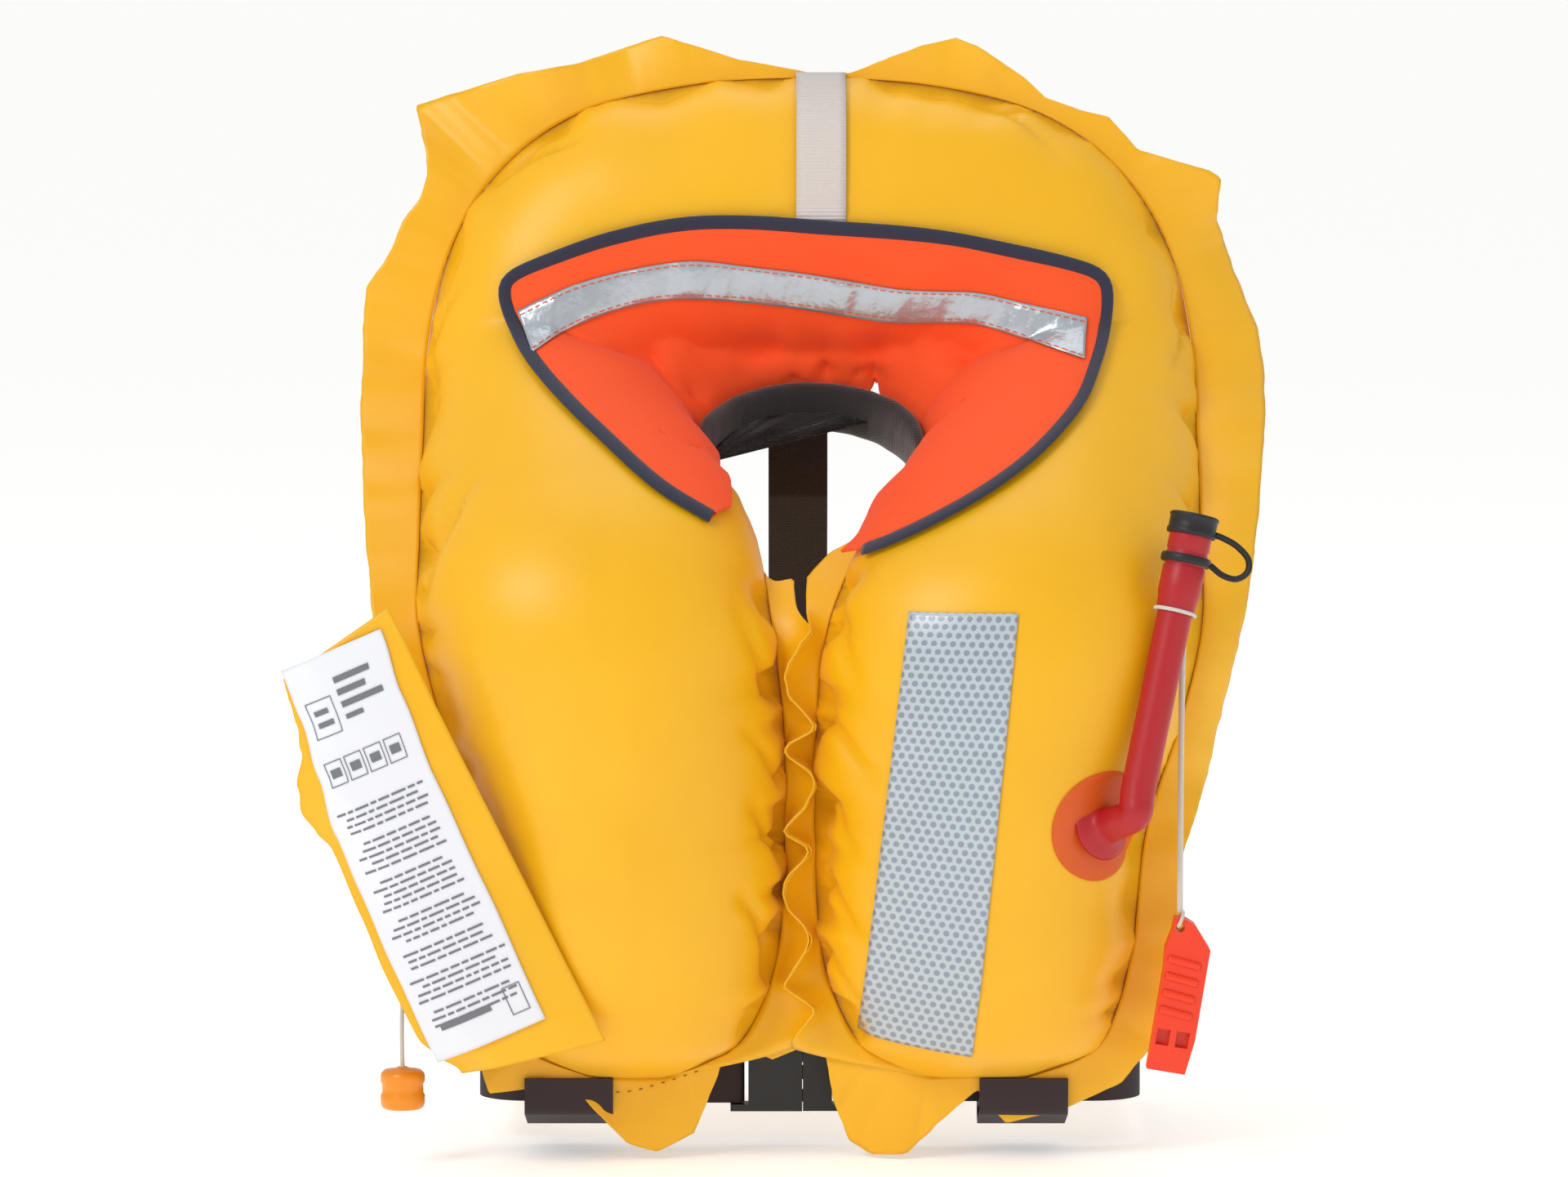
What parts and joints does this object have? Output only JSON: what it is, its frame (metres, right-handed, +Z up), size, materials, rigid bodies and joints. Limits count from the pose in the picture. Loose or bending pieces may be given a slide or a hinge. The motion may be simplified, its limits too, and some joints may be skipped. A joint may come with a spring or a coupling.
{
  "type": "inflatable life jacket",
  "caption": "Inflated horseshoe-collar life jacket with a folded-open cover, waist belt with a side-release buckle, oral tube, whistle and manual gas inflator.",
  "frame": {"origin": "middle of the nape pad's face, where the back of the neck bears on it", "axes": "+Z up as worn, +Y towards the wearer's back, +X towards the wearer's left"},
  "size_m": [0.5076, 0.288, 0.5503],
  "materials": {
    "coated_yellow": "satin",
    "cover_orange": "matte",
    "navy_binding": "matte",
    "silver_tape": "satin",
    "honeycomb_film": "gloss",
    "black_webbing": "matte",
    "white_webbing": "matte",
    "black_plastic": "satin",
    "red_tube": "satin",
    "patch_film": "satin",
    "black_rubber": "matte",
    "valve_plastic": "satin",
    "spring_steel": "satin",
    "white_cord": "matte",
    "whistle_orange": "satin",
    "label_white": "satin",
    "knob_orange": "satin",
    "inflator_black": "satin",
    "cylinder_steel": "satin"
  },
  "bodies": {
    "bladder": {"bladder_front_panel": "coated_yellow", "bladder_back_panel": "coated_yellow", "weld_rim": "coated_yellow", "protective_cover": "cover_orange", "cover_binding": "navy_binding", "cover_reflective_tape": "silver_tape", "honeycomb_tape": "honeycomb_film", "lifting_band": "white_webbing", "nape_pad": "black_webbing", "belt_webbing": "black_webbing", "belt_front_webbing": "black_webbing", "belt_loop_right": "black_webbing", "belt_loop_left": "black_webbing", "back_strap": "black_webbing", "buckle_female": "black_plastic", "oral_tube_patch": "patch_film", "oral_tube_foot": "red_tube", "inflator_body": "inflator_black", "lever_pin": "spring_steel", "inflator_manifold": "inflator_black", "manifold_gasket": "patch_film"},
    "adjuster": {"belt_adjuster": "black_plastic"},
    "buckle_half": {"buckle_male": "black_plastic"},
    "upper_arm": {"latch_arm_upper": "black_plastic"},
    "lower_arm": {"latch_arm_lower": "black_plastic"},
    "tube": {"oral_tube": "red_tube", "mouthpiece": "red_tube", "valve_seat": "valve_plastic", "valve_spring": "spring_steel", "retainer_ring": "black_rubber", "cap_tether": "black_rubber", "lanyard_turn": "white_cord"},
    "valve": {"valve_stem": "valve_plastic"},
    "cap": {"dust_cap": "black_rubber"},
    "lanyard": {"whistle_lanyard": "white_cord"},
    "whistle_body": {"whistle": "whistle_orange"},
    "flap": {"label_flap": "coated_yellow", "label": "label_white"},
    "lever": {"inflator_lever": "knob_orange"},
    "spike": {"piercing_pin": "spring_steel"},
    "cylinder": {"co2_cylinder": "cylinder_steel"},
    "pull": {"pull_cord": "white_cord", "pull_knob": "knob_orange"}
  },
  "joints": [
    {"name": "buckle_release", "type": "slide", "parent": "bladder", "child": "buckle_half", "axis": [1, 0, 0], "range_m": [0, 0.026], "deforming": ["belt_front_webbing", "latch_arm_upper", "latch_arm_lower"]},
    {"name": "upper_pinch", "type": "hinge", "parent": "buckle_half", "child": "upper_arm", "pos_m": [-0.002, -0.0591, -0.3134], "axis": [0, -1, 0], "range_deg": [0, 8], "stiffness_Nm_per_rad": 0.2},
    {"name": "lower_pinch", "type": "hinge", "parent": "buckle_half", "child": "lower_arm", "pos_m": [-0.002, -0.0591, -0.3366], "axis": [0, 1, 0], "range_deg": [0, 8], "stiffness_Nm_per_rad": 0.2},
    {"name": "belt_adjust", "type": "slide", "parent": "bladder", "child": "adjuster", "axis": [1, 0, 0], "range_m": [-0.02, 0.055]},
    {"name": "tube_bend", "type": "hinge", "parent": "bladder", "child": "tube", "pos_m": [0.157, -0.165, -0.184], "axis": [0.6, -0.8, 0], "range_deg": [0, 20], "stiffness_Nm_per_rad": 0.2},
    {"name": "valve_press", "type": "slide", "parent": "tube", "child": "valve", "axis": [-0.205, -0.15, -0.9672], "range_m": [0, 0.003], "stiffness_N_per_m": 200, "deforming": ["valve_spring"]},
    {"name": "cap_peel", "type": "hinge", "parent": "tube", "child": "cap", "pos_m": [0.19675, -0.14415, -0.05195], "axis": [0, 1, 0], "range_deg": [0, 115], "deforming": ["dust_cap", "cap_tether"]},
    {"name": "lanyard_swing", "type": "hinge", "parent": "tube", "child": "lanyard", "pos_m": [0.1825, -0.1405, -0.0885], "axis": [0, -1, 0], "range_deg": [-4, 40]},
    {"name": "whistle_swing", "type": "hinge", "parent": "lanyard", "child": "whistle_body", "pos_m": [0.1815, -0.1415, -0.2405], "axis": [-1, 0, 0], "range_deg": [-10, 30]},
    {"name": "flap_lift", "type": "hinge", "parent": "bladder", "child": "flap", "pos_m": [-0.22308, -0.1568, -0.22427], "axis": [0.4478, 0, -0.8942], "range_deg": [0, 55]},
    {"name": "lever_pull", "type": "hinge", "parent": "bladder", "child": "lever", "pos_m": [-0.17073, -0.128, -0.28352], "axis": [0, -1, 0], "range_deg": [0, 65]},
    {"name": "spike_drive", "type": "slide", "parent": "bladder", "child": "spike", "axis": [-0.4478, 0, 0.8942], "range_m": [0, 0.004]},
    {"name": "cylinder_unscrew", "type": "hinge", "parent": "bladder", "child": "cylinder", "pos_m": [-0.19043, -0.128, -0.24418], "axis": [-0.4478, 0, 0.8942], "continuous": true},
    {"name": "knob_swing", "type": "hinge", "parent": "lever", "child": "pull", "pos_m": [-0.20151, -0.128, -0.27477], "axis": [0, -1, 0], "range_deg": [-65, 0]}
  ],
  "couplings": [
    {"joint": "lower_pinch", "follows": "upper_pinch", "ratio": 1},
    {"joint": "knob_swing", "follows": "lever_pull", "ratio": -0.9999},
    {"joint": "spike_drive", "follows": "lever_pull", "m_per_rad": 0.003522}
  ]
}
